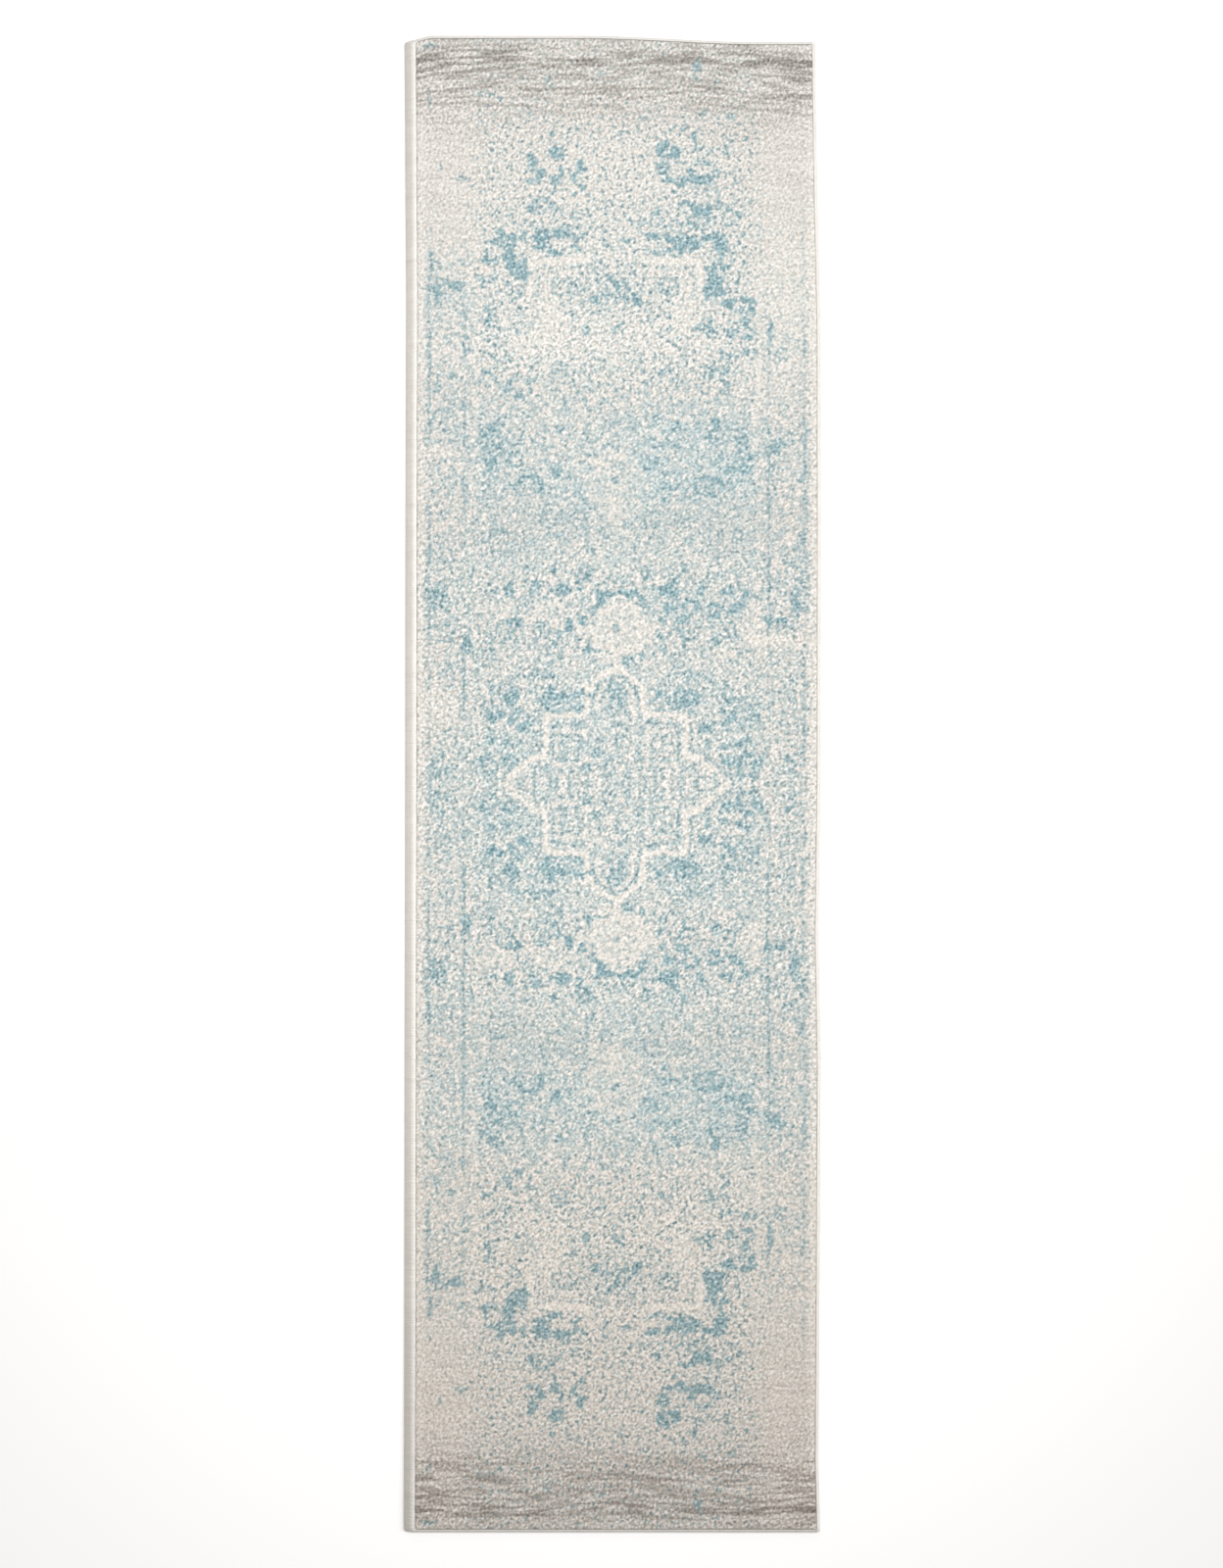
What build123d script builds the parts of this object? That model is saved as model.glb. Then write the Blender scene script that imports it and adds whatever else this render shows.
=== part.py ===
"""A flat-lying runner rug: cut pile on a woven ground with a thin latex back, its four edges corded and serged.

The rug lies on the floor with its back at z = 0, its width along X and its length along Y.
The head end is at +Y, the foot end at -Y. Both ends can be turned over onto the middle, pile to pile,
so every layer that runs the whole length is built as three lengths that meet at the two fold lines.
"""

from build123d import *
import os

# ---- driving dimensions, in millimetres ----
rug_width = 676.0
rug_length = 2440.0
pile_top = 9.6  # height of the pile's face above the floor
latex_thickness = 0.8
ground_thickness = 1.8
corner_radius = 8.0  # rounding of the rug's four corners, seen from above

side_roll_width = 13.0  # the serged edge along each long side
side_roll_height = 8.4
side_cord_diameter = 4.6
end_roll_width = 6.0  # the slimmer serged edge across each end
end_roll_height = 7.0
end_cord_diameter = 2.6
serging_yarn = 0.9  # least thickness of the yarn wound round the cord

ground_margin = 4.0  # how far the ground weave runs into the side serging
end_ground_margin = 1.6  # and into the end serging
pile_groove = 1.0  # gap between the pile and the serging

fold_line = rug_length / 4  # distance of each fold line from the middle; the folds turn 1.2 mm above the pile

# ---- what follows from them ----
half_width = rug_width / 2
half_length = rug_length / 2
inner_half_width = half_width - side_roll_width
inner_half_length = half_length - end_roll_width
ground_bottom = latex_thickness
ground_top = ground_bottom + ground_thickness

# name of each length of the rug, with its range in Y
lengths = {
    "foot_end": (-half_length, -fold_line),
    "middle": (-fold_line, fold_line),
    "head_end": (fold_line, half_length),
}


def slab(half_x, y_range, z_bottom, z_top):
    """A flat layer, centred across the rug."""
    low, high = y_range
    block = Box(2 * half_x, high - low, z_top - z_bottom)
    return Pos(0, (low + high) / 2, (z_bottom + z_top) / 2) * block


def within(y_range, half_limit):
    """A length's range in Y, kept inside plus and minus half_limit."""
    low, high = y_range
    return max(low, -half_limit), min(high, half_limit)


def cord_along_y(x, z, diameter, y_range):
    """A round cord lying along the rug."""
    low, high = y_range
    cord = Cylinder(diameter / 2, high - low, rotation=(90, 0, 0))
    return Pos(x, (low + high) / 2, z) * cord


def cord_along_x(y, z, diameter, half_x):
    """A round cord lying across the rug."""
    return Pos(0, y, z) * Cylinder(diameter / 2, 2 * half_x, rotation=(0, 90, 0))


def roll_along_y(x, width, height, y_range):
    """The outer shape of a serged edge along the rug: a rounded bar that rests on the floor."""
    low, high = y_range
    profile = RectangleRounded(width, height, 0.45 * height)
    bar = extrude(Plane.XZ * profile, (high - low) / 2, both=True)
    return Pos(x, (low + high) / 2, height / 2) * bar


def roll_along_x(y, width, height, half_x):
    """The outer shape of a serged edge across the rug."""
    profile = RectangleRounded(width, height, 0.45 * min(width, height))
    bar = extrude(Plane.YZ * profile, half_x, both=True)
    return Pos(0, y, height / 2) * bar


def layers(y_range):
    """The three layers of one length of the rug: latex back, woven ground and pile."""
    inner = within(y_range, inner_half_length)
    ground = within(y_range, inner_half_length + end_ground_margin)
    pile = within(y_range, inner_half_length - pile_groove)
    return {
        "latex_backing": slab(inner_half_width, inner, 0, latex_thickness),
        "ground_weave": slab(inner_half_width + ground_margin, ground, ground_bottom, ground_top),
        "pile": slab(inner_half_width - pile_groove, pile, ground_top, pile_top),
    }


def side_edge(side, y_range, ground):
    """The cord and the serging of one length of a long side. side is -1 on the left, 1 on the right."""
    cord_x = side * (half_width - serging_yarn - side_cord_diameter / 2)
    cord_range = within(y_range, half_length - corner_radius / 2)
    cord = cord_along_y(cord_x, side_roll_height / 2, side_cord_diameter, cord_range)
    roll_x = side * (half_width - side_roll_width / 2)
    outline = extrude(RectangleRounded(rug_width, rug_length, corner_radius), pile_top)
    roll = roll_along_y(roll_x, side_roll_width, side_roll_height, y_range) & outline
    return cord, roll - cord - ground


def end_edge(end, ground):
    """The cord and the serging across one end. end is 1 at the head, -1 at the foot."""
    cord_y = end * (half_length - serging_yarn - end_cord_diameter / 2)
    cord = cord_along_x(cord_y, end_roll_height / 2, end_cord_diameter, inner_half_width)
    roll_y = end * (half_length - end_roll_width / 2)
    roll = roll_along_x(roll_y, end_roll_width, end_roll_height, inner_half_width)
    return cord, roll - cord - ground


parts = {}
for length_name, y_range in lengths.items():
    sheet_layers = layers(y_range)
    for layer_name, solid in sheet_layers.items():
        parts[f"{layer_name}_{length_name}"] = solid
    for side_name, side in (("left", -1), ("right", 1)):
        cord, serging = side_edge(side, y_range, sheet_layers["ground_weave"])
        parts[f"{side_name}_edge_cord_{length_name}"] = cord
        parts[f"{side_name}_serging_{length_name}"] = serging

for end_name, end in (("head", 1), ("foot", -1)):
    cord, serging = end_edge(end, parts[f"ground_weave_{end_name}_end"])
    parts[f"{end_name}_edge_cord"] = cord
    parts[f"{end_name}_serging"] = serging

os.makedirs("parts", exist_ok=True)
for name, solid in parts.items():
    solid.label = name
    export_step(solid, f"parts/{name}.step")
    print(name, round(solid.volume / 1000, 2), "cm3")
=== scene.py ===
# %% [markdown]
# # A washed-out runner rug, from the yarn up
#
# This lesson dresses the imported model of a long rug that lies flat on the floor.
# The real rug is made of layers. A cut pile carries the colours, a woven ground holds the pile's knots,
# a thin latex coat locks them from below, and the four edges are wound with yarn round a cord.
# Each layer becomes its own piece here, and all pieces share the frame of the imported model, in metres.

# %% Start
import bpy
import numpy as np
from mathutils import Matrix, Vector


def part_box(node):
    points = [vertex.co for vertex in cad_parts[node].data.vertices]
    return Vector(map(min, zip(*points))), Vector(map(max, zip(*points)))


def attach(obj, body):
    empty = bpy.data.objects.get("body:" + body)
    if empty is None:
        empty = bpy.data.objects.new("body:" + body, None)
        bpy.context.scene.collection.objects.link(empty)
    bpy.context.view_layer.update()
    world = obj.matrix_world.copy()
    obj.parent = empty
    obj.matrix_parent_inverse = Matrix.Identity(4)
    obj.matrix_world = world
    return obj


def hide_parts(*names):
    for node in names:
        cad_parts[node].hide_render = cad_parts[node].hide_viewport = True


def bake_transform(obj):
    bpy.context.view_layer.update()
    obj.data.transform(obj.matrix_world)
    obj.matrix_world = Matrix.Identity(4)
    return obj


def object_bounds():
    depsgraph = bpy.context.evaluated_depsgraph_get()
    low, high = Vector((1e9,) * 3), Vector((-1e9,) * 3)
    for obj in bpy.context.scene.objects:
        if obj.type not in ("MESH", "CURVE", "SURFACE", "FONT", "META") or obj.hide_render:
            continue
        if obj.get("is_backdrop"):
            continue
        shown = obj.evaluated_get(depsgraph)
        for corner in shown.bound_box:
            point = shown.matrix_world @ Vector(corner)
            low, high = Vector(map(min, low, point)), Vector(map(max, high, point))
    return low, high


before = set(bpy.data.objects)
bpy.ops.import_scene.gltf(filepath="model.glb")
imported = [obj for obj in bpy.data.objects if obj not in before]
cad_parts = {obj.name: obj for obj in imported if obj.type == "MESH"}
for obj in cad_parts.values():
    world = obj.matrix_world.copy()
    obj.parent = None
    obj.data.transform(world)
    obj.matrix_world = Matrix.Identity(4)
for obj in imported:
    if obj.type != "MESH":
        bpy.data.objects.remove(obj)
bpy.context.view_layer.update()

# %% [markdown]
# ## Measures
#
# Places are read from the imported parts, so the pieces follow if the model changes.
# The rug is cut into six even lengths. The second and fifth cross the fold lines and ride on no body,
# and the others ride on one body each. Even lengths keep each piece light enough to edit.

# %% Places read from the model
mm = 0.001
pile_low, pile_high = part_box("pile_head_end")
ground_low, ground_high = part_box("ground_weave_head_end")
latex_low, latex_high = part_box("latex_backing_head_end")
side_low, side_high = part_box("right_serging_head_end")
end_low, end_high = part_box("head_serging")
pile_x, pile_y = pile_high.x, pile_high.y
section_count = 6
section_edges = np.linspace(-pile_y, pile_y, section_count + 1)

# %% The lengths and the bodies that carry them
section_names = ["foot_tip", "foot_fold", "foot_middle", "head_middle", "head_fold", "head_tip"]
section_bodies = ["foot_end", None, "middle", "middle", None, "head_end"]


def carry(obj, section):
    """A piece of section 1 or 4 crosses a fold line and keeps its place, with its transform applied; any other
    rides on the body of its section.
    """
    if section_bodies[section] is not None:
        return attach(obj, section_bodies[section])
    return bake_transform(obj)


# %% [markdown]
# ## Helpers
#
# Everything below works on whole arrays. A soft step and a bell blur give smooth transitions,
# and two mesh makers turn grids of points into closed pieces. Seeds are fixed, so each run is the same.

# %% Soft steps and noise
def soft_step(low, high, value):
    """0 up to low, 1 from high, and 3t^2 - 2t^3 between them, where t runs from 0 to 1."""
    t = np.clip((value - low) / (high - low), 0, 1)
    return t * t * (3 - 2 * t)


def between(rise, risen, fall, fallen, value):
    """1 from risen to fall, fading to 0 at rise and at fallen."""
    return soft_step(rise, risen, value) * (1 - soft_step(fall, fallen, value))


def mix(a, b, share):
    """a + (b - a) times share, for colours: share has one number for each colour."""
    return a + (b - a) * share[..., None]


def brief(value):
    """A number rounded for printing."""
    return round(float(value), 3)


# %% The knots of the pile
knot_columns, knot_rows = 361, 1351  # about 1.8 mm between knots both ways
rows_per_section = (knot_rows - 1) // section_count
across = np.linspace(-pile_x, pile_x, knot_columns) / mm
along = np.linspace(-pile_y, pile_y, knot_rows) / mm
X, Y = np.meshgrid(across, along)  # in millimetres from the rug's middle, like every motif below
AY = np.abs(Y)
AX = np.abs(X)
rim_x, rim_y = pile_x / mm - AX, pile_y / mm - AY  # how far in from the long and the short edges
knot = across[1] - across[0]
print("knots:", knot_columns, "by", knot_rows, "at", round(knot, 2), "mm")


# %% Noise on the knots
def bell_blur(field, wide, long):
    """field blurred by way of its waves with a bell curve, wide mm of deviation across and long mm along."""
    waves_y = np.fft.fftfreq(field.shape[0]) * 2 * np.pi
    waves_x = np.fft.rfftfreq(field.shape[1]) * 2 * np.pi
    damping_y = np.exp(-0.5 * (long / knot * waves_y) ** 2)
    damping_x = np.exp(-0.5 * (wide / knot * waves_x) ** 2)
    damped = np.fft.rfft2(field) * damping_y[:, None] * damping_x[None, :]
    return np.fft.irfft2(damped, s=field.shape)


def grain(seed, wide, long=None):
    """Blurred random numbers with mean 0 and deviation 1."""
    random = np.random.default_rng(seed).standard_normal((knot_rows, knot_columns))
    field = bell_blur(random, wide, wide if long is None else long)
    return (field - field.mean()) / field.std()


def curls(seed, fine, coarse):
    """The difference of a fine and a coarse blur of the same numbers: worm-like strokes of one size."""
    random = np.random.default_rng(seed).standard_normal((knot_rows, knot_columns))
    field = bell_blur(random, fine, fine) - bell_blur(random, coarse, coarse)
    return field / field.std()


def both_ends(field):
    """The head half of a field, repeated upside down on the foot half, as the two ends mirror each other."""
    return np.where(Y >= 0, field, field[::-1])


# %% Shapes for drawing on the knots
def spot(x, y, half_x, half_y, soft=0.35, everywhere=True):
    """1 inside an ellipse, 0 outside, with a soft rim. everywhere draws it at both ends, mirrored."""
    r = np.hypot((X - x) / half_x, ((AY if everywhere else Y) - y) / half_y)
    return 1 - soft_step(1 - soft, 1 + soft, r)


def bar(x0, y0, x1, y1, width):
    """1 along a straight line, drawn four times by mirroring; the distance to the line sets the fade."""
    dx, dy = x1 - x0, y1 - y0
    t = np.clip(((AX - x0) * dx + (AY - y0) * dy) / (dx * dx + dy * dy), 0, 1)
    distance = np.hypot(AX - x0 - t * dx, AY - y0 - t * dy)
    return 1 - soft_step(0.3 * width, 0.8 * width, distance)


def path(points, width):
    """The strongest of the bars between neighbouring points."""
    drawn = [bar(*a, *b, width) for a, b in zip(points, points[1:])]
    return np.maximum.reduce(drawn)


def ring(x, y, radius, width):
    """1 on a circle's line, mirrored four times."""
    distance = np.abs(np.hypot(AX - x, AY - y) - radius)
    return 1 - soft_step(0.3 * width, 0.8 * width, distance)


def lobed(x, y, half_x, half_y, lobes, depth):
    """1 inside a blossom: an ellipse, its radius swelling by depth times the cosine of lobes times the angle."""
    dx, dy = (X - x) / half_x, (AY - y) / half_y
    r = np.hypot(dx, dy) / (1 + depth * np.cos(lobes * np.arctan2(dy, dx)))
    return 1 - soft_step(0.7, 1.3, r)


def pushed(field, down, sideways=0):
    """field read at places that lie a whole number of knots away."""
    rows = np.clip(np.arange(knot_rows)[:, None] + down, 0, knot_rows - 1)
    columns = np.clip(np.arange(knot_columns)[None, :] + sideways, 0, knot_columns - 1)
    return field[rows, columns]


def frayed(field, seed, reach, size=3.0):
    """field pushed by noise, about reach mm far, which roughens the outlines of what is drawn."""
    down, sideways = (np.round(reach / knot * both_ends(grain(seed + i, size))).astype(int) for i in (0, 1))
    return pushed(field, down, sideways)


# %% [markdown]
# ## The worn design
#
# The design is a faded medallion carpet: a cross-shaped medallion in the middle, two round blossoms,
# arched brackets with flower sprays at each end, and a border with a thin guard line.
# It is drawn as a list of strokes, given in millimetres: x from the middle, distance from the middle
# along the rug, half width, half height and strength. The foot end mirrors the head end.
# Wear is noise that eats into the strokes, as years of washing would.

# %% Strokes of the end brackets
spray_left = [
    (-100,1028,11,12,1), (-105,1054,4,6,.7), (-136,1011,8,9,.8), (-127,992,6,12,.8), (-140,984,6,6,.6),
    (-57,1006,9,10,.95), (-68,988,6,10,.9), (-84,997,6,6,.9), (-99,982,7,9,.8), (-100,964,6,7,.5),
    (-54,972,6,8,.7), (-82,1050,6,6,.5), (-61,1066,6,8,.55), (-38,1052,6,7,.5), (-138,1092,7,6,.4),
    (-182,1030,5,6,.45), (-285,1002,5,6,.6), (-247,986,6,6,.6), (-185,990,6,12,.3), (11,1052,4,8,.6)]
spray_right = [
    (78,1038,8,13,.9), (95,1026,13,9,.95), (80,1000,8,14,.8), (90,985,14,8,.85), (108,984,10,7,.85),
    (124,996,7,9,.95), (132,982,14,8,1), (152,985,11,8,.9), (167,999,8,9,.6), (145,1011,18,6,.65),
    (108,1012,9,7,.45), (138,1030,24,8,.45), (178,1036,14,6,.45), (134,1055,7,10,.7), (176,1054,5,5,.6),
    (189,1052,6,12,.45), (190,1086,9,9,.5), (168,1080,7,7,.4), (141,1093,6,12,.5), (112,1080,6,22,.42),
    (92,1066,9,9,.5), (68,1090,6,7,.35), (40,1083,7,8,.42), (30,1060,6,7,.3), (130,1177,10,9,.75),
    (130,1156,9,7,.55), (95,962,10,7,.6), (112,963,16,5,.5), (140,963,18,5,.45), (165,960,9,14,.4),
    (197,985,6,14,.42), (207,960,4,17,.3)]
leaves = [
    (-137,940,12,10,.75), (-116,945,18,8,.6), (-94,930,12,12,.5), (-130,915,16,6,.45), (-60,922,18,9,.4),
    (-202,927,6,9,.65), (-182,934,7,6,.4), (-165,925,5,9,.4), (-222,915,5,14,.35), (-80,912,40,6,.35),
    (66,934,9,9,.65), (140,937,16,9,1), (115,942,15,7,.75), (182,933,9,7,.9), (164,946,9,7,.5),
    (200,926,6,12,.6), (130,918,26,14,.5), (100,914,40,10,.42), (50,915,12,8,.45), (185,912,14,8,.4)]
brackets = [
    (-142,895,8,6,.9), (-118,892,13,11,1), (-90,895,17,8,1), (-64,890,9,6,.9), (-50,896,6,7,.8),
    (-120,874,11,8,.9), (-98,868,16,6,1), (-62,870,14,5,.85), (62,892,13,7,1), (94,890,11,9,1),
    (112,884,13,15,1), (126,880,8,9,.95), (150,892,15,6,1), (166,884,7,11,.9), (175,874,7,15,1),
    (62,867,8,5,.9), (86,866,13,5,.9), (110,868,13,7,.95), (172,850,9,11,.7)]
flower_left = [
    (-186,888,10,15,.75), (-205,880,9,9,.7), (-215,862,6,10,.8), (-200,849,13,6,.8), (-170,882,10,15,.75),
    (-172,858,9,14,.9), (-165,838,15,11,1), (-150,830,12,16,1), (-146,850,8,9,.8), (-251,844,8,11,.55),
    (-222,820,8,11,.5), (-195,815,6,8,.5), (-175,812,6,7,.45), (-164,795,4,10,.6), (-209,770,6,19,.75),
    (-205,748,5,8,.5)]
flower_right = [
    (154,838,9,11,.95), (182,840,7,8,.8), (158,812,14,20,1), (150,800,10,13,1), (171,803,9,8,.95),
    (182,780,11,9,1), (200,812,4,22,.6), (213,784,11,7,1), (223,774,7,11,.9), (205,768,7,7,.8),
    (210,750,8,10,.8), (142,742,15,9,.7), (155,758,10,6,.6), (184,738,8,7,.7), (213,725,11,8,.8),
    (225,736,5,9,.6), (208,702,9,6,.8), (225,700,5,16,.7), (182,697,15,9,.75), (155,674,11,15,.65),
    (176,675,13,6,.65), (175,650,8,13,.6), (218,628,7,9,.5), (248,735,4.5,30,.9), (268,700,6,13,.6),
    (290,722,9,7,.35), (100,655,7,13,.4), (75,668,12,8,.35)]
bracket_strokes = spray_left + spray_right + leaves + brackets + flower_left + flower_right
print("bracket strokes:", len(bracket_strokes))

# %% Strokes of the border, the field and the medallions
border_marks = [
    (-287,808,12,13,.85), (-262,812,15,6,.85), (-289,792,6,16,.85), (-305,850,5,18,.5), (-287,845,6,10,.5),
    (-307,810,5,16,.55), (-305,900,6,9,.35), (-245,760,5,6,.55), (-246,730,4,24,.5), (-257,790,5,9,.4),
    (-300,735,12,10,.4), (-290,305,18,22,.6), (-262,668,6,12,.6), (-290,650,9,18,.4), (-270,568,14,5,.5),
    (-108,1142,9,13,.4), (-150,1145,5,9,.4), (-30,1152,6,10,.42), (-215,1120,26,4,.4), (-185,1118,7,8,.42),
    (-304,1118,5,11,.4), (165,1143,6,6,.4), (215,1155,9,4,.38), (-300,1203,14,5,.55)]
end_flecks = [
    (-132,743,9,6,.5), (-43,744,8,7,.8), (4,741,10,7,.7), (-30,787,9,6,.9), (30,787,10,7,.9), (3,812,7,9,.9),
    (20,795,7,6,.6), (-15,800,7,6,.5), (-16,884,4,15,.7), (18,880,7,9,.6), (2,908,7,7,.4),
    (-180,700,11,10,.5), (-205,702,8,6,.4), (-195,715,6,13,.45), (-174,682,6,9,.42), (-158,682,6,9,.5),
    (-205,670,10,7,.8), (-215,658,7,7,.5), (-143,655,6,11,.5), (-175,645,6,11,.6), (-160,630,8,8,.7),
    (-90,680,14,9,.4), (-70,672,18,10,.38), (8,672,9,7,.42), (-40,700,12,7,.3), (42,680,6,16,.32),
    (0,805,44,30,.36), (88,808,16,16,.45)]
field_marks = [
    (-90,580,9,6,.75), (-205,572,22,14,.6), (-196,548,16,14,.6), (-198,518,8,17,.75), (-142,500,20,5,.75),
    (-158,488,5,10,.7), (-123,483,6,15,.9), (-97,508,8,8,.8), (-165,540,20,5,.6), (-165,522,20,5,.55),
    (-175,482,10,7,.5), (150,498,22,6,.8), (130,484,6,12,.8), (168,484,6,12,.75), (152,470,16,5,.6),
    (182,510,12,7,.8), (208,510,16,7,.85), (170,535,10,6,.6), (210,530,22,8,.6), (205,555,14,8,.55),
    (262,550,9,9,.8), (160,588,8,9,.7), (98,580,11,8,.6), (70,598,9,7,.5), (98,550,8,8,.7), (70,547,7,7,.6),
    (160,563,13,9,.55), (58,522,14,8,.6), (88,482,7,6,.8), (82,462,6,6,.7), (110,347,10,8,.95),
    (-90,405,7,6,.8), (-100,350,8,7,.7), (-172,320,7,10,.85), (-130,318,7,9,.85), (-85,318,12,7,.9),
    (-55,322,8,9,.6), (-196,315,12,6,.6), (-45,336,7,11,.6)]
blossom_halo = [
    (-52,270,9,6,.8), (-37,285,7,9,.9), (-25,302,10,11,1), (-8,311,13,8,1), (20,311,17,6,.95),
    (42,306,7,7,.8), (42,287,6,8,.8), (-36,264,9,5,.5), (-79,259,7,11,.95), (-92,244,8,8,.8),
    (-99,230,6,12,.7), (-120,263,8,7,.6), (-165,262,13,7,.7), (-145,290,6,9,.6), (-40,223,14,6,.85),
    (-172,240,10,9,.5), (42,207,9,9,.85), (17,200,6,6,.7), (110,236,5,19,.7), (72,220,5,12,.7),
    (82,256,5,13,.7), (88,313,15,10,.9), (98,331,7,8,.7), (85,288,13,8,.95), (112,297,15,5,.9),
    (131,288,7,9,.9), (112,270,11,8,.85), (158,288,13,6,.8), (160,270,10,9,1), (192,289,13,7,.95),
    (207,296,7,7,.9), (136,313,8,10,.8), (182,314,8,10,.7), (212,310,8,7,.8), (165,237,9,14,.55),
    (205,230,6,6,.6), (249,263,6,7,1), (268,263,12,6,.9), (290,300,8,30,.7), (-244,228,4.5,24,.8),
    (-202,226,4.5,22,.6)]
centre_marks = [
    (-106,142,24,15,.75), (-62,143,15,7,.9), (-60,126,10,5,.7), (-172,143,7,13,.8), (-168,172,14,7,.5),
    (-198,150,6,22,.6), (70,143,10,13,.8), (114,140,26,14,.75), (112,128,16,5,.9), (120,176,40,8,.5),
    (-120,178,40,8,.5), (148,94,7,12,.8), (183,100,8,11,.9), (203,98,8,8,.8), (222,112,7,9,.8),
    (176,120,7,9,.6), (190,140,20,8,.6), (210,68,14,7,.8), (150,68,6,15,.65), (178,62,11,10,.5),
    (182,40,13,9,1), (200,30,7,14,.8), (228,30,7,14,.8), (214,48,12,6,.8), (214,12,14,6,.7), (160,15,18,5,.4),
    (-198,107,9,8,.9), (-175,100,6,9,.85), (-164,115,8,7,.85), (-149,92,12,8,1), (-200,72,12,8,.9),
    (-172,65,15,9,.55), (-170,42,15,9,.75), (-212,40,12,8,.65), (-196,22,8,12,.6), (-30,48,9,7,.7),
    (-50,28,7,9,.7), (38,45,7,7,.5), (62,25,8,7,.6), (0,146,17,24,.55), (0,165,10,7,.6), (275,150,16,12,.45),
    (280,30,16,20,.45), (-285,20,20,26,.4), (-282,60,8,18,.4), (-272,180,16,20,.35)]
strokes = bracket_strokes + border_marks + end_flecks + field_marks + blossom_halo + centre_marks
print("strokes in all:", len(strokes))


# %% Where the blue strokes lie
def stroke_presence():
    """The strongest stroke at each knot: strength times a soft ellipse, its outline frayed by noise."""
    fray = 3.0  # mm
    fray_x, fray_y = (fray * both_ends(grain(seed, 6)) for seed in (51, 52))
    presence = np.zeros_like(X)
    for x, y, half_x, half_y, strength in strokes:
        columns = np.abs(across - x) < 2.2 * half_x + 4 * fray
        for end in (1, -1):
            here = np.ix_(np.abs(along - end * y) < 2.2 * half_y + 4 * fray, columns)
            r = np.hypot((X[here] + fray_x[here] - x) / half_x, (end * Y[here] + fray_y[here] - y) / half_y)
            presence[here] = np.maximum(presence[here], strength * (1 - soft_step(0.55, 1.55, r)))
    return presence


presence = stroke_presence()
print("share of the pile under a stroke:", brief((presence > 0.4).mean()))

# %% How much of the yarn is soft blue
# distance from the middle along the rug, and the share of soft blue there
field_shares = [
    (0,.42), (60,.44), (120,.45), (170,.48), (215,.40), (260,.32), (330,.38), (380,.52), (430,.55), (480,.62),
    (560,.58), (600,.48), (640,.30), (700,.26), (780,.25), (850,.22), (880,.20), (910,.18), (960,.10), (1030,.08),
    (1110,.08), (1213,.08)]
border_shares = [
    (0,.38), (120,.34), (250,.32), (330,.42), (420,.38), (560,.40), (650,.30), (800,.28), (900,.12), (1000,.03)]
in_field = 1 - soft_step(222, 250, AX)
blue_share = (np.interp(AY, *np.transpose(field_shares)) * in_field
              + np.interp(AY, *np.transpose(border_shares)) * (1 - in_field))
print("mean share of soft blue:", brief(blue_share.mean()))


# %% Cream outlines and worn patches
def cream_parts():
    """The parts left cream: outlines of the medallions, blossoms, and patches worn bare."""
    cross = [(0, 186), (16, 181), (32, 170), (44, 154), (48, 113), (112, 111), (114, 46), (136, 42),
             (150, 27), (168, 14), (180, 0)]
    drawn = [
        1.25 * path(cross, 7),
        0.9 * path([(0, 168), (14, 164), (26, 150), (30, 118)], 5),
        0.9 * path([(50, 86), (96, 86), (98, 30), (50, 30)], 5),
        1.2 * path([(50, 852), (138, 850), (138, 800)], 10),
        0.6 * path([(138, 830), (136, 700)], 9),
        0.5 * path([(0, 915), (16, 903), (34, 884), (48, 856)], 6),
        0.95 * lobed(3, 252, 50, 44, 8, 0.12),
        0.5 * lobed(0, 494, 48, 46, 8, 0.12),
        0.7 * spot(0, 448, 20, 26),
        0.5 * path([(44, 474), (0, 432)], 7),
        0.6 * np.maximum(spot(110, 775, 20, 56), spot(-110, 775, 20, 56)),
        0.5 * path([(228, 960), (228, 560)], 8),
        0.35 * path([(228, 540), (228, 250)], 6),
        0.6 * spot(-195, 283, 28, 16), 0.5 * spot(-110, 285, 36, 14),
        0.55 * spot(230, 245, 26, 34), 0.4 * spot(190, 210, 40, 10)]
    return np.maximum.reduce(drawn)


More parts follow.
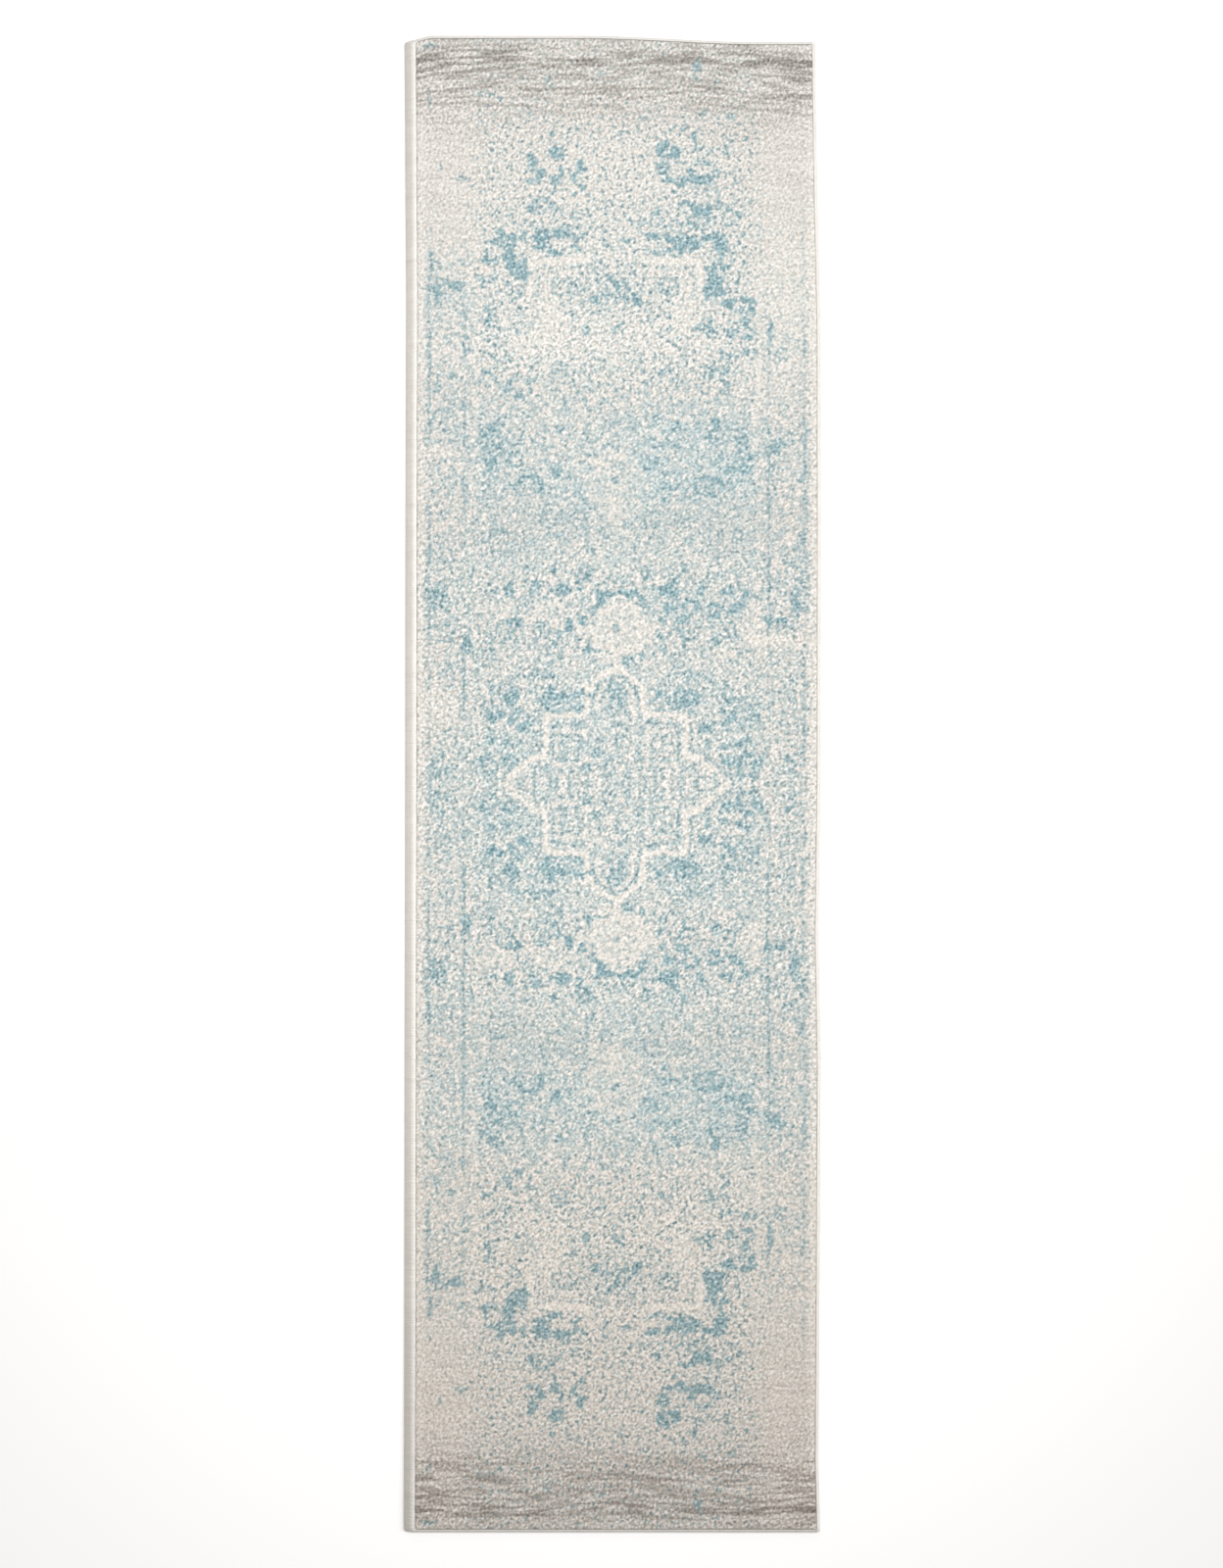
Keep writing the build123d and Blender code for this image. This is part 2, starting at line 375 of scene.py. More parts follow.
def fine_lines():
    """Thin dark lines: frames beside the cream outlines, small rosettes, and broken guard lines."""
    rosettes = [
        (145,485,15), (0,606,23), (280,372,13), (274,245,13), (276,610,13), (60,430,13), (110,430,13),
        (92,672,13), (150,745,13), (280,96,13), (100,200,13), (54,345,12), (210,205,13), (200,575,12),
        (165,565,14), (176,150,14), (0,20,20), (0,70,26), (62,12,15), (120,12,14), (90,66,15), (0,812,15),
        (55,812,12), (212,30,16), (206,120,14), (30,690,14), (0,720,14), (120,250,14), (180,250,13),
        (26,790,12), (88,808,13), (24,838,10), (60,770,12)]
    broken = [0.5 + 0.5 * np.tanh(2.5 * (grain(seed, 6, 16) + bias))
              for seed, bias in ((41, 0.5), (42, 0.2), (43, -0.4))]
    drawn = [
        0.9 * path([(52, 99), (102, 97), (102, 40), (60, 38), (60, 80)], 3.4),
        0.6 * path([(56, 842), (126, 838), (126, 792)], 3.4),
        0.6 * path([(46, 846), (40, 770), (0, 760)], 3.4),
        0.7 * path([(72, 822), (102, 822), (102, 796), (72, 796), (72, 822)], 4),
        0.6 * path([(166, 378), (204, 378), (204, 410), (166, 410), (166, 340)], 4),
        0.7 * path([(0, 176), (13, 172), (27, 160), (36, 146), (39, 112)], 3.2),
        0.75 * path([(54, 121), (121, 119), (123, 53), (142, 51), (158, 33), (176, 20), (190, 4)], 3.2),
        0.6 * np.maximum(lobed(1, 142, 21, 24, 6, 0.1) - lobed(1, 142, 16, 18, 6, 0.1), 0),
        *[0.55 * (ring(x, y, radius, 4) + spot(x, y, 4, 4) + spot(-x, y, 4, 4)) for x, y, radius in rosettes],
        0.6 * (lobed(2, 252, 26, 24, 8, 0.2) - lobed(2, 252, 21, 19, 8, 0.2)), 0.8 * spot(2, 252, 7, 7),
        0.5 * (lobed(0, 494, 26, 24, 8, 0.2) - lobed(0, 494, 21, 19, 8, 0.2)), 0.7 * spot(0, 494, 7, 7),
        1.2 * bar(247, 60, 247, 620, 4) * broken[0], 0.7 * bar(247, 620, 247, 780, 4) * broken[0],
        0.7 * bar(304, 0, 304, 900, 4) * broken[1], 0.45 * bar(204, 20, 204, 300, 3) * broken[2]]
    return np.maximum.reduce(drawn)


cream, lines = frayed(cream_parts(), 53, reach=1.3), frayed(fine_lines(), 55, reach=0.8)
print("share left cream:", brief((cream > 0.5).mean()))

# %% Wear
fine_noise = curls(31, 0.9, 3.0)
strokes_noise = both_ends(curls(61, 2.0, 5.5))
flecks_noise = both_ends(curls(62, 1.3, 3.4))
blots_noise = both_ends(curls(63, 4.2, 12))
maze_noise = both_ends(np.tanh(1.6 * curls(65, 1.5, 2.4)))
scrolls = both_ends(1 - soft_step(0.2, 0.9, np.abs(curls(66, 2.2, 3.6))))  # pale lines between the curls
worn_patches = [
    (285, 800, 60, 80, .5), (-60, 720, 120, 50, .45), (260, 232, 60, 9, .8), (-290, 540, 40, 10, .8),
    (-300, 120, 40, 40, .7), (262, 640, 60, 60, .5), (-250, -560, 60, 40, .35), (200, -640, 120, 50, .3)]
worn = sum(k * spot(x, y, a, b, 0.5, everywhere=False) for x, y, a, b, k in worn_patches)
selvage = 1 - soft_step(6, 17, rim_x)  # the outermost tufts are plain
kept = (1 - np.clip(worn, 0, 0.95)) * (1 - 0.75 * selvage)
print("mean of the pale scrolls:", brief(scrolls.mean()), "and share of dye kept:", brief(kept.mean()))


# %% Soft blue
def soft_blue_mask():
    """The share of soft blue plus noise of several sizes, and a little more of it round the strokes."""
    share = blue_share * (1 - 0.8 * cream) * kept * (1 - 0.25 * soft_step(540, 640, -Y))
    noise = (0.16 * strokes_noise + 0.17 * blots_noise + 0.05 * grain(13, 10) + 0.05 * grain(12, 60, 42)
             + 0.05 * maze_noise)
    curled = 1.14 - 0.28 * scrolls
    near_strokes = bell_blur(presence, 6, 6)
    lively = soft_step(0.0, 0.3, share)
    return np.clip(share * curled + 0.22 * near_strokes * curled + noise * lively, 0, 1)


soft_blue = soft_blue_mask()
print("mean soft blue:", brief(soft_blue.mean()))


# %% Strong blue
def scattered_strokes():
    """Small strokes between the drawn ones: the peaks of the noise, most where the design is crowded."""
    far = soft_step(600, 660, AY)
    zone = (between(600, 660, 1060, 1130, AY) * (1 - soft_step(215, 260, AX))
            + 0.8 * (1 - far) * (1 - 0.6 * soft_step(222, 250, AX))
            + 0.5 * soft_step(232, 262, AX) * (1 - soft_step(820, 900, AY))
            + 0.8 * soft_step(1080, 1110, AY) * (1 - soft_step(190, 290, AX)) * np.where(Y > 0, 0.6, 1.1))
    crowded = (between(200, 235, 335, 365, AY) + 0.5 * between(440, 480, 590, 620, AY)
               + 0.5 * soft_step(110, 140, AX) * (1 - soft_step(170, 190, AY)))
    limit = 1.1 - 0.25 * far - 0.45 * crowded
    peaks = soft_step(0, 0.4, 0.6 * strokes_noise + 0.45 * flecks_noise + 0.5 * maze_noise - limit)
    return (0.65 + 0.3 * far + 0.2 * crowded) * (peaks * zone * kept * (1 - 0.6 * cream))


def strong_blue_mask():
    """The drawn strokes as far as the noise spares them, with the scattered ones, slightly blurred."""
    strength = presence * (1 - 0.45 * cream) * (0.6 + 0.4 * kept)
    spared = 2.2 * (strength - 0.46) + 0.42 * strokes_noise + 0.18 * flecks_noise + 0.30 * maze_noise
    drawn = soft_step(-0.5, 0.56, spared) * (1.16 - 0.4 * scrolls)
    drawn *= soft_step(0.04, 0.3, presence) * (0.6 + 0.4 * presence)
    return bell_blur(np.maximum(drawn, scattered_strokes()), 0.7, 0.7)


strong_blue = strong_blue_mask()
flecked_lines = np.clip(lines * (0.85 + 0.45 * flecks_noise), 0, 1)
thin_dark = flecked_lines * (0.5 + 0.5 * soft_step(0.1, 0.35, blue_share)) * kept
print("mean strong blue and thin lines:", brief(strong_blue.mean()), brief(thin_dark.mean()))

# %% Grey streaks across both ends
streak_bands = [(1181, 13, .26), (1156, 9, .15), (1131, 9, .16), (1103, 12, .08)]  # place, width, strength


def grey_streaks():
    """Bands of grey weft near the ends. Long thin noise, pushed by a slow wave, breaks them into lines."""
    sway = 5 * np.cos(X / 75) + 2.5 * grain(21, 80, 60)
    push = np.round(np.where(Y >= 0, sway, -sway) / knot).astype(int)
    noise = pushed(1.25 * np.tanh(1.4 * grain(22, 15, 1.3)), push)
    bands = sum(k * np.exp(-((AY + sway - at) / wide) ** 2) for at, wide, k in streak_bands)
    bands = bands + 0.05 * soft_step(1040, 1110, AY)
    grey = bands * (1 + 0.75 * noise) + 0.08 * soft_step(1075, 1120, AY) * np.maximum(noise, 0)
    grey = grey + 0.04 * soft_step(820, 960, AY) * soft_step(120, 230, AX) * noise
    smudges = np.maximum(spot(-140, 425, 200, 44, 0.8), spot(140, 425, 200, 44, 0.8))
    return np.clip(grey + 0.05 * smudges, 0, 1)


grey = grey_streaks()
print("mean grey near the end:", brief(grey[AY > 1100].mean()))

# %% [markdown]
# ## Yarn colours
#
# Each knot is one tuft of dyed yarn. Cream tufts are mixed with grey-beige ones, which gives the
# salt-and-pepper look of a heathered pile, and blue tufts take over where the masks say so.
# Colours are chosen as seen on a screen, from 0 to 255, and then turned into linear light for the renderer.

# %% Yarn tones, as seen
cream_yarn, bare_yarn = np.array([225, 220, 214.]), np.array([241, 237, 230.])
grey_yarn, line_yarn = np.array([158, 153, 147.]), np.array([140, 170, 178.])
soft_blue_yarn, strong_blue_yarn = np.array([190, 208, 211.]), np.array([138, 172, 181.])


def dyed_tones():
    """The tone of each knot: cream, pulled towards bare yarn, blue or grey by each mask in turn."""
    pale_ends = between(640, 700, 1020, 1110, AY) * (0.5 + 0.5 * (Y > 0))  # half as pale at the foot
    tone = mix(cream_yarn, bare_yarn, 0.45 * pale_ends + 0.5 * (1 - kept))
    for yarn, share in (
            (soft_blue_yarn, soft_blue),
            (bare_yarn, 0.75 * np.clip(cream - 0.2, 0, 1) * (1 - thin_dark)),
            (bare_yarn, 0.35 * selvage * (1 - soft_step(1040, 1120, AY))),
            (strong_blue_yarn, 0.85 * strong_blue),
            (line_yarn, 0.85 * thin_dark),
            (grey_yarn, np.clip(1.5 * grey, 0, 1) * (1 - 0.75 * strong_blue))):
        tone = mix(tone, yarn, share)
    return tone


def yarn_shade():
    """How much darker than its dye a knot looks: noise, lively where the design is dense, calm on cream."""
    dense = soft_step(0.1, 0.45, blue_share) * (1 + 0.25 * (1 - soft_step(320, 380, AY)))
    outer = np.maximum(soft_step(1030, 1100, AY), (1 - soft_step(200, 260, AX)) * soft_step(620, 680, AY))
    lively = 0.88 + 0.22 * dense + 0.36 * outer + 0.12 * (1 - soft_step(360, 420, AY))
    dark = lively * (16 * fine_noise + 5 * strokes_noise * (0.6 + 0.4 * dense) + 2.5 * blots_noise * dense
                     + 8 * maze_noise - 9 * (scrolls - scrolls.mean()) * (0.3 + 0.7 * dense))
    weft = np.tanh(1.5 * grain(23, 16, 1.1)) * soft_step(620, 900, AY)
    weft = weft * (0.45 + 0.55 * soft_step(120, 230, AX))
    return (dark + 4.5 * weft * (1 - strong_blue)) * (1 - 0.35 * np.clip(cream, 0, 1))


def linear(tone):
    """Screen tones as linear light: ((c + 0.055) / 1.055) to the power 2.4, or c / 12.92 near black."""
    c = np.clip(tone / 255, 0, 1)
    return np.where(c <= 0.04045, c / 12.92, ((c + 0.055) / 1.055) ** 2.4)


# painted light: the foot end is tinted warmer, standing in for the warmer light that falls there
painted_warm_foot_light = soft_step(540, 700, -Y)[..., None] * np.array([1.8, -0.9, -2.4])  # a warmer foot end
tones = dyed_tones() - yarn_shade()[..., None] + painted_warm_foot_light
dye_depth = 0.90  # how much light the yarn gives back under the studio light, against its tone on screen
yarn_colours = linear(tones) * dye_depth
print("mean yarn tone:", tones.mean(axis=(0, 1)).round(1))

# %% [markdown]
# ## How the rug lies
#
# No rug lies perfectly straight. The long edges wander by a few millimetres, the head end runs
# slightly askew, and the left edge has rolled open wider than the right one. One function moves the points
# of every piece the same way, so that layers stay together.

# %% The lie of the rug
half_x, half_y = side_high.x, end_high.y
inner_x, inner_y = side_low.x, end_low.y
shift = 6.5 * mm  # all but the outline lies this much to the right
end_gap, right_skew, corner_skew = 0.8 * mm, 10.5 * mm, 9 * mm  # how far the ends lie short of full length
# place along the rug in metres, and how far the edge wanders to the right there, in mm
right_wander = np.array([
    (-1.22, 2.5), (-1.1, -0.5), (-0.8, 1.5), (-0.45, 3.5), (-0.25, -0.5), (0, 3), (0.4, 3.5), (0.75, 3),
    (0.95, -2), (1.1, -4.5), (1.22, -6)])
left_wander = np.array([(-1.22, -1), (-0.9, 0), (-0.5, 0.5), (0, 1.5), (0.4, 2), (0.8, 3), (1.22, 0.5)])


def lie(points):
    """Points moved sideways by the shift, which fades to 0 at the long edges, and by the wander of each edge
    times the square of the distance from the middle. Near the ends they are moved back towards the middle,
    at the head end by more on the right and at the left corner."""
    x, y = points[..., 0], points[..., 1]
    beyond = np.clip((np.abs(x) - inner_x) / (half_x - inner_x), 0, 1)
    right, left = (np.interp(y, *wander.T) * mm for wander in (right_wander, left_wander))
    edge = np.clip(np.abs(x) / half_x, 0, 1.05) ** 2
    head, foot = (np.clip(side * y / half_y, 0, 1.05) ** 8 for side in (1, -1))
    skew = end_gap + right_skew * soft_step(-0.06, 0.24, x) + corner_skew * soft_step(0.296, 0.342, -x)
    out = points.copy()
    out[..., 0] = x + shift * (1 - beyond) + np.where(x > 0, right, left) * edge
    out[..., 1] = y + (end_gap * foot - skew * head)
    return out


# %% [markdown]
# ## Making closed pieces
#
# A layer is a closed slab: a grid of points above, another below, walls at the sides and one many-sided
# face at each end. An edge roll is a closed tube: rings of points along a path and a face at each end.
# Walls and ends are marked sharp, so that the shading doesn't smear round the corners.

# %% Mesh makers
def finished_mesh(name, points, quads, caps, rim):
    """A mesh from points, four-cornered faces and many-sided caps, all facing outwards.
    Edges that join two points of the rim are sharp, so that walls and caps don't round the surface off."""
    mesh = bpy.data.meshes.new(name)
    corners = np.concatenate([quads.ravel()] + [np.asarray(c) for c in caps])
    sizes = np.concatenate([np.full(len(quads), 4), [len(c) for c in caps]]).astype(np.int32)
    mesh.vertices.add(len(points))
    mesh.vertices.foreach_set("co", points.astype(np.float32).ravel())
    mesh.loops.add(len(corners))
    mesh.loops.foreach_set("vertex_index", corners.astype(np.int32))
    mesh.polygons.add(len(sizes))
    mesh.polygons.foreach_set("loop_start", (np.cumsum(sizes) - sizes).astype(np.int32))
    mesh.update(calc_edges=True)
    ends = np.empty(2 * len(mesh.edges), np.int32)
    mesh.edges.foreach_get("vertices", ends)
    sharp = rim[ends.reshape(-1, 2)].all(axis=1)
    mesh.attributes.new("sharp_edge", "BOOLEAN", "EDGE").data.foreach_set("value", sharp)
    obj = bpy.data.objects.new(name, mesh)
    bpy.context.scene.collection.objects.link(obj)
    return obj


def joined(*grids):
    """Grids of points or colours as one list, one grid after another."""
    return np.concatenate([grid.reshape(-1, 3) for grid in grids])


def dressed(obj, rest, material, colours=None):
    """Keeps each point's place on the flat rug, and its colour, as attributes that the materials read.
    The piece takes the material and the slot that goes with it."""
    places = obj.data.attributes.new("rest", "FLOAT_VECTOR", "POINT")
    places.data.foreach_set("vector", rest.astype(np.float32).ravel())
    if colours is not None:
        colours = joined(colours)
        rgba = np.concatenate([colours, np.ones((len(colours), 1))], axis=1)
        layer = obj.data.color_attributes.new("yarn", "FLOAT_COLOR", "POINT")
        layer.data.foreach_set("color", rgba.astype(np.float32).ravel())
    obj.data.materials.append(material)
    return obj


def grid_faces(rows, columns, first, up=True):
    """Quads of a grid whose points are numbered row by row from first, facing up or down."""
    a = first + np.arange(rows - 1)[:, None] * columns + np.arange(columns - 1)[None, :]
    quads = np.stack([a, a + 1, a + columns + 1, a + columns], -1).reshape(-1, 4)
    return quads if up else quads[:, ::-1]


def closed_slab(name, upper, lower):
    """A layer between two grids with the same rows: upper and lower faces, two side walls and two ends."""
    rows, wide, low_wide = upper.shape[0], upper.shape[1], lower.shape[1]
    points = joined(upper, lower)
    first_low = rows * wide
    top = np.arange(first_low).reshape(rows, wide)
    low = first_low + np.arange(rows * low_wide).reshape(rows, low_wide)
    left = np.stack([low[:-1, 0], top[:-1, 0], top[1:, 0], low[1:, 0]], -1)
    right = np.stack([low[:-1, -1], low[1:, -1], top[1:, -1], top[:-1, -1]], -1)
    upside, underside = grid_faces(rows, wide, 0), grid_faces(rows, low_wide, first_low, up=False)
    quads = np.concatenate([upside, underside, left, right])
    near = np.concatenate([low[0], top[0, ::-1]])
    far = np.concatenate([low[-1, ::-1], top[-1]])
    rim = np.zeros(len(points), bool)
    for grid in (top, low):
        for line in (grid[0], grid[-1], grid[:, 0], grid[:, -1]):
            rim[line] = True
    return finished_mesh(name, points, quads, [near, far], rim)


def closed_tube(name, rings):
    """A tube through rings of points, with a flat cap at both ends, turned so that all faces look out."""
    count, around = rings.shape[:2]
    index = np.arange(count * around).reshape(count, around)
    turned = np.roll(index, -1, axis=1)
    quads = np.stack([index[:-1], turned[:-1], turned[1:], index[1:]], -1).reshape(-1, 4)
    caps = [index[0, ::-1], index[-1]]
    points = rings.reshape(-1, 3)
    centre = points.mean(0)
    a, b, c = (points[quads[:, k]] - centre for k in (0, 1, 2))
    if np.einsum("ij,ij->i", a, np.cross(b, c)).sum() < 0:
        quads, caps = quads[:, ::-1], [cap[::-1] for cap in caps]
    rim = np.zeros(len(points), bool)
    rim[index[0]] = rim[index[-1]] = True
    return finished_mesh(name, points, quads, caps, rim)


# %% [markdown]
# ## Materials
#
# The pile's colour follows the fabric, so it comes from an attribute of the mesh and not from where the
# object stands. Fine fibre noise is added on the flat place of each point, which moves with the fabric too.
# Wool-like yarn is matt with a faint sheen; the latex coat is smoother.

# %% Material helpers
def new_material(name, roughness, sheen=0.0, specular=0.25):
    """A principled material with its even values set on the shader itself. It keeps the name of its slot,
    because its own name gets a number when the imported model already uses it."""
    material = bpy.data.materials.new(name)
    material["slot"] = name
    material.use_nodes = True
    shader = material.node_tree.nodes["Principled BSDF"]
    for key, value in (("Roughness", roughness), ("Sheen Weight", sheen), ("Sheen Roughness", 0.6),
                       ("Specular IOR Level", specular)):
        shader.inputs[key].default_value = value
    return material, material.node_tree, shader


def node(tree, kind, output, inputs=(), **settings):
    """One output of a new node. Each input is given a value or another node's output."""
    made = tree.nodes.new("ShaderNode" + kind)
    for key, value in settings.items():
        setattr(made, key, value)
    for key, value in dict(inputs).items():
        if isinstance(value, bpy.types.NodeSocket):
            tree.links.new(value, made.inputs[key])
        else:
            made.inputs[key].default_value = value
    return made.outputs[output]


def attribute(tree, name, output):
    """A named attribute of the mesh."""
    return node(tree, "Attribute", output, attribute_name=name)


def noise(tree, vector, scale, detail=2.0, roughness=0.5):
    """Noise on the given vector, in features per metre."""
    values = {"Vector": vector, "Scale": scale, "Detail": detail, "Roughness": roughness}
    return node(tree, "TexNoise", "Fac", values)


def stretched(tree, vector, scale):
    """The vector with each axis scaled, which stretches a pattern along the small ones."""
    return node(tree, "Mapping", "Vector", {"Vector": vector, "Scale": scale})


def threads(tree, vector, direction, pitch):
    """Even ribs, one for each thread: a sine wave along one axis."""
    values = {"Vector": vector, "Scale": 2 * np.pi / pitch / 20, "Distortion": 1.2, "Detail Scale": 3.0}
    return node(tree, "TexWave", "Fac", values, bands_direction=direction)


def two_tone(tree, factor, dark, light):
    """A colour between dark and light."""
    values = {"Factor": factor, "A": (*dark, 1), "B": (*light, 1)}
    return node(tree, "Mix", "Result", values, data_type="RGBA")


def toned(tree, colour, factor, low, high):
    """colour times a value that runs from low to high as factor runs from 0.3 to 0.7."""
    ends = {"From Min": 0.3, "From Max": 0.7, "To Min": low, "To Max": high}
    ramp = node(tree, "MapRange", "Result", {"Value": factor, **ends})
    values = {"Factor": 1.0, "A": colour, "B": ramp}
    return node(tree, "Mix", "Result", values, data_type="RGBA", blend_type="MULTIPLY")


def bumped(tree, height, distance, strength, under=None):
    """A bump of the given height in metres, on top of another one if given."""
    values = {"Height": height, "Distance": distance, "Strength": strength}
    return node(tree, "Bump", "Normal", values if under is None else {**values, "Normal": under})


def connect(tree, shader, colour, normal):
    """Joins the colour and the relief to the shader."""
    tree.links.new(colour, shader.inputs["Base Color"])
    tree.links.new(normal, shader.inputs["Normal"])


# %% Pile yarn
pile_material, tree, shader = new_material("pile_yarn", roughness=0.95, sheen=0.12, specular=0.15)
place, yarn = attribute(tree, "rest", "Vector"), attribute(tree, "yarn", "Color")
fibre = noise(tree, place, 1500, detail=3.0, roughness=0.6)
heather = noise(tree, stretched(tree, place, (1, 2.2, 1)), 620, detail=1.0)
shade = toned(tree, yarn, fibre, 0.90, 1.06)
connect(tree, shader, toned(tree, shade, heather, 0.93, 1.05), bumped(tree, fibre, 0.5 * mm, 0.7))
print("pile material:", len(tree.nodes), "nodes")

# %% [markdown]
# ## The pile
#
# A real pile is about a million cut tufts. Modelling each would be far too heavy, so the pile is one
# surface with a point for every knot. Each point stands at its own height, tufts clump over a few
# millimetres, and the rim leans down into the groove beside the edge binding.

# %% Tuft heights
rim_reach = 2.0  # mm over which the pile's rim leans down
rim_share = np.clip(np.exp(-rim_x / rim_reach) + np.exp(-rim_y / rim_reach), 0, 1)
single, clumped = grain(71, 0.9), grain(72, 4.0)
height = 0.30 * single + 0.16 * clumped + 0.10 * cream - 0.16 * fine_noise
sink = np.clip(0.62 - height, 0.02, 1.9)  # mm below the pile's crest
pile_z = pile_high.z - (sink + 0.8 * rim_share) * mm
print("tufts stand", brief(pile_z.min() / mm), "to", brief(pile_z.max() / mm), "mm above the floor")

# %% Pile pieces
shadow = (1 - 0.04 * rim_share) * (1 - 0.10 * np.clip(sink - 0.7, 0, 1))
pile_colours = yarn_colours * shadow[..., None]
reach = 1 + 0.7 * mm / pile_x  # the cut tips lean out a little over the groove
pile_points = np.stack([X * mm * reach, Y * mm, pile_z], -1)


def two_rims(grid):
    """The first and the last of each row."""
    return np.stack([grid[:, 0], grid[:, -1]], 1)


pile_pieces = []
for section, name in enumerate(section_names):
    rows = slice(section * rows_per_section, (section + 1) * rows_per_section + 1)
    upper, tint = pile_points[rows], pile_colours[rows]
    lower = two_rims(upper)
    lower[..., 2] = ground_high.z
    piece = closed_slab(f"pile_{name}", lie(upper), lie(lower))
    pile_pieces.append(dressed(piece, joined(upper, lower), pile_material, joined(tint, two_rims(tint))))
print("pile pieces:", len(pile_pieces), "with", len(pile_pieces[0].data.polygons), "faces each")

# %% [markdown]
# ## The woven ground
#
# The ground is a plain cotton and jute weave. Only its edge shows, where it runs into the wound edges,
# so a coarse grid is enough for its shape, and its threads are drawn in the material.

# %% Ground weave material
warp_pitch = 1.8 * mm
ground_material, tree, shader = new_material("ground_weave_yarn", roughness=0.9, specular=0.2)
place = attribute(tree, "rest", "Vector")
weft, warp = threads(tree, place, "Y", 2.4 * mm), threads(tree, place, "X", warp_pitch)
crossing = node(tree, "Math", "Value", {0: weft, 1: warp}, operation="MULTIPLY")
cloth = two_tone(tree, crossing, (0.36, 0.30, 0.22), (0.62, 0.55, 0.44))
slub = noise(tree, stretched(tree, place, (0.3, 1, 1)), 500)
connect(tree, shader, toned(tree, cloth, slub, 0.85, 1.1), bumped(tree, crossing, 0.5 * mm, 0.8))


# %% Grids for the layers below the pile
def layer_rows(section, limit):
    """Every second knot row of a section and its last; the rug's outermost rows are moved out to the limit."""
    rows = along[section * rows_per_section:(section + 1) * rows_per_section + 1] * mm
    rows = np.concatenate([rows[:-1:2], rows[-1:]])
    if section == 0:
        rows[0] = -limit
    if section == section_count - 1:
        rows[-1] = limit
    return rows


def layer_grid(rows, half_width, columns, z):
    """A flat grid across the rug."""
    x, y = np.meshgrid(np.linspace(-half_width, half_width, columns), rows)
    return np.stack([x, y, np.full_like(x, z)], -1)


def layer_piece(name, section, upper, lower, material, colours=None):
    """One closed layer of a section, with its material and its flat places."""
    piece = closed_slab(f"{name}_{section_names[section]}", lie(upper), lie(lower))
    return dressed(piece, joined(upper, lower), material, colours)


# %% Ground weave pieces
ground_pieces = []
for section in range(section_count):
    rows = layer_rows(section, ground_high.y)
    upper, lower = (layer_grid(rows, ground_high.x, 14, z) for z in (ground_high.z, ground_low.z))
    ground_pieces.append(layer_piece("ground_weave", section, upper, lower, ground_material))
print("ground pieces:", len(ground_pieces))

# %% [markdown]
# ## The latex back
#
# From below, the rug shows its weave through a thin, slightly shiny coat. Ribs of weft run across,
# fine lines of warp run along, and the colours of the pile show through faintly.
# The ribs and hollows are real relief, so that they catch the light when an end is turned over.

# %% Latex material
rib_pitch = 3.6 * mm
latex_material, tree, shader = new_material("latex_coat", roughness=0.55, specular=0.4)
place, ghost = attribute(tree, "rest", "Vector"), attribute(tree, "yarn", "Color")
weft, warp = threads(tree, place, "Y", rib_pitch), threads(tree, place, "X", warp_pitch)
coat = toned(tree, ghost, weft, 0.86, 1.08)
coat = toned(tree, coat, warp, 0.93, 1.04)
coat = toned(tree, coat, noise(tree, place, 90, detail=4.0), 0.93, 1.05)
connect(tree, shader, coat, bumped(tree, warp, 0.25 * mm, 0.6, under=bumped(tree, weft, 0.5 * mm, 0.8)))


# %% Latex pieces
def latex_relief(rows, xs, section):
    """Relief below the coat, upwards from the floor: ribs of weft, dimples at the knots and slow waves."""
    x, y = xs[None, :] / mm, rows[:, None] / mm
    random = np.random.default_rng(90 + section).random((len(rows), len(xs)))
    random[0] = random[-1] = 0.5
    ribs = 0.10 * (1 + np.cos(np.pi * np.round(y / (rib_pitch / mm))))
    return (0.06 + ribs + 0.10 * random + 0.04 * (1 + np.sin(x / 37 + y / 53))) * mm


latex_colour = linear(np.array([206, 196, 180.]))
latex_pieces = []
for section in range(section_count):
    rows = layer_rows(section, latex_high.y)
    upper = layer_grid(rows, latex_high.x, 2, latex_high.z)
    lower = layer_grid(rows, latex_high.x, 130, 0.0)
    xs = lower[0, :, 0]
    lower[..., 2] = latex_low.z + latex_relief(rows, xs, section)
    nearest_row = np.abs(rows[:, None] / mm - along[None, :]).argmin(1)
    nearest_column = np.abs(xs[:, None] / mm - across[None, :]).argmin(1)
    behind = yarn_colours[np.ix_(nearest_row, nearest_column)]
    colours = joined(np.broadcast_to(latex_colour, upper.shape), 0.72 * latex_colour + 0.28 * behind * 0.8)
    latex_pieces.append(layer_piece("latex_back", section, upper, lower, latex_material, colours))
print("latex pieces:", len(latex_pieces), "with", len(latex_pieces[0].data.polygons), "faces each")

# %% [markdown]
# ## The bound edges
#
# Each long edge is a cord wound with yarn. The winding leaves a raised bead next to the pile and a slope
# down to the floor outside it. The shape is a profile carried along a path: an inner line beside the pile
# and an outer line at the rug's outline. The profile is set between the two, so the binding can turn
# the corner and grow slimmer towards the ends of the rug.

# %% The path of an edge
wrap_pitch = 2.7 * mm
ring_step = 0.9 * mm
corner_inner = 3.0 * mm


